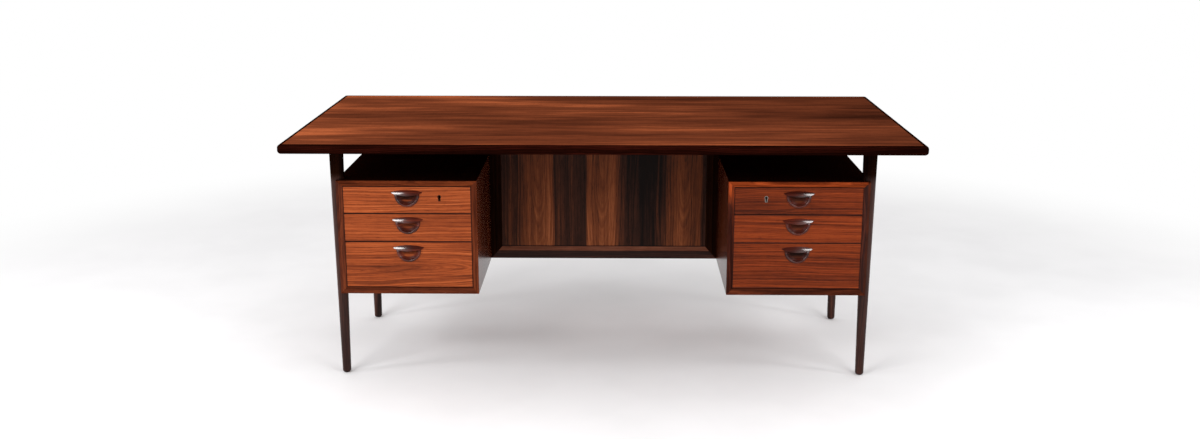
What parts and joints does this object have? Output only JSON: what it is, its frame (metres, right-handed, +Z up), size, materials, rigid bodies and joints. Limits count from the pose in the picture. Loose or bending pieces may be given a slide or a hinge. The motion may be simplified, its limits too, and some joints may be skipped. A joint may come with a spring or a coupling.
{
  "type": "writing desk with bookcase",
  "caption": "Free-standing writing desk: a veneered top on round tapered legs, drawer cases with carved half-moon pulls either side of a panelled knee space, and an open bookcase at the back.",
  "frame": {"origin": "on the floor under the middle of the desk top", "axes": "+X to the right of the person who sits at the desk, +Y from the sitter to the back, +Z up"},
  "size_m": [1.8, 0.9, 0.74],
  "materials": {
    "rosewood_veneer": "satin lacquer",
    "rosewood_solid": "satin lacquer",
    "secondary_wood": "waxed",
    "plywood": "bare",
    "brass": "aged",
    "steel": "plain"
  },
  "bodies": {
    "desk": {"desk_top_panel": "rosewood_veneer", "desk_top_lipping": "rosewood_solid", "desk_top_bearers": "rosewood_solid", "assembly_screws": "steel", "knee_panel": "rosewood_veneer", "knee_frame_bottom_rail": "rosewood_solid", "knee_frame_top_rail": "rosewood_solid", "knee_frame_left_stile": "rosewood_solid", "knee_frame_right_stile": "rosewood_solid", "bookcase_bottom": "rosewood_veneer", "bookcase_top": "rosewood_veneer", "bookcase_left_side": "rosewood_veneer", "bookcase_right_side": "rosewood_veneer", "left_front_leg": "rosewood_solid", "left_rear_leg": "rosewood_solid", "left_case_top": "rosewood_veneer", "left_case_bottom": "rosewood_veneer", "left_case_inner_side": "rosewood_veneer", "left_case_outer_side": "rosewood_veneer", "left_case_partition": "rosewood_veneer", "left_case_runners": "secondary_wood", "right_front_leg": "rosewood_solid", "right_rear_leg": "rosewood_solid", "right_case_top": "rosewood_veneer", "right_case_bottom": "rosewood_veneer", "right_case_inner_side": "rosewood_veneer", "right_case_outer_side": "rosewood_veneer", "right_case_partition": "rosewood_veneer", "right_case_runners": "secondary_wood"},
    "left_top_drawer": {"left_top_drawer_front": "rosewood_veneer", "left_top_drawer_box": "secondary_wood", "left_top_drawer_bottom": "plywood", "left_top_drawer_pull": "rosewood_solid", "left_lock_case": "brass", "left_lock_escutcheon": "brass"},
    "left_middle_drawer": {"left_middle_drawer_front": "rosewood_veneer", "left_middle_drawer_box": "secondary_wood", "left_middle_drawer_bottom": "plywood", "left_middle_drawer_pull": "rosewood_solid"},
    "left_bottom_drawer": {"left_bottom_drawer_front": "rosewood_veneer", "left_bottom_drawer_box": "secondary_wood", "left_bottom_drawer_bottom": "plywood", "left_bottom_drawer_pull": "rosewood_solid"},
    "left_bolt": {"left_lock_bolt": "brass"},
    "right_top_drawer": {"right_top_drawer_front": "rosewood_veneer", "right_top_drawer_box": "secondary_wood", "right_top_drawer_bottom": "plywood", "right_top_drawer_pull": "rosewood_solid", "right_lock_case": "brass", "right_lock_escutcheon": "brass"},
    "right_middle_drawer": {"right_middle_drawer_front": "rosewood_veneer", "right_middle_drawer_box": "secondary_wood", "right_middle_drawer_bottom": "plywood", "right_middle_drawer_pull": "rosewood_solid"},
    "right_bottom_drawer": {"right_bottom_drawer_front": "rosewood_veneer", "right_bottom_drawer_box": "secondary_wood", "right_bottom_drawer_bottom": "plywood", "right_bottom_drawer_pull": "rosewood_solid"},
    "right_bolt": {"right_lock_bolt": "brass"}
  },
  "joints": [
    {"name": "left_top_drawer_slide", "type": "slide", "parent": "desk", "child": "left_top_drawer", "axis": [0, -1, 0], "range_m": [0, 0.3]},
    {"name": "left_middle_drawer_slide", "type": "slide", "parent": "desk", "child": "left_middle_drawer", "axis": [0, -1, 0], "range_m": [0, 0.3]},
    {"name": "left_bottom_drawer_slide", "type": "slide", "parent": "desk", "child": "left_bottom_drawer", "axis": [0, -1, 0], "range_m": [0, 0.3]},
    {"name": "left_bolt_throw", "type": "slide", "parent": "left_top_drawer", "child": "left_bolt", "axis": [0, 0, 1], "range_m": [0, 0.006]},
    {"name": "right_top_drawer_slide", "type": "slide", "parent": "desk", "child": "right_top_drawer", "axis": [0, -1, 0], "range_m": [0, 0.3]},
    {"name": "right_middle_drawer_slide", "type": "slide", "parent": "desk", "child": "right_middle_drawer", "axis": [0, -1, 0], "range_m": [0, 0.3]},
    {"name": "right_bottom_drawer_slide", "type": "slide", "parent": "desk", "child": "right_bottom_drawer", "axis": [0, -1, 0], "range_m": [0, 0.3]},
    {"name": "right_bolt_throw", "type": "slide", "parent": "right_top_drawer", "child": "right_bolt", "axis": [0, 0, 1], "range_m": [0, 0.006]}
  ]
}
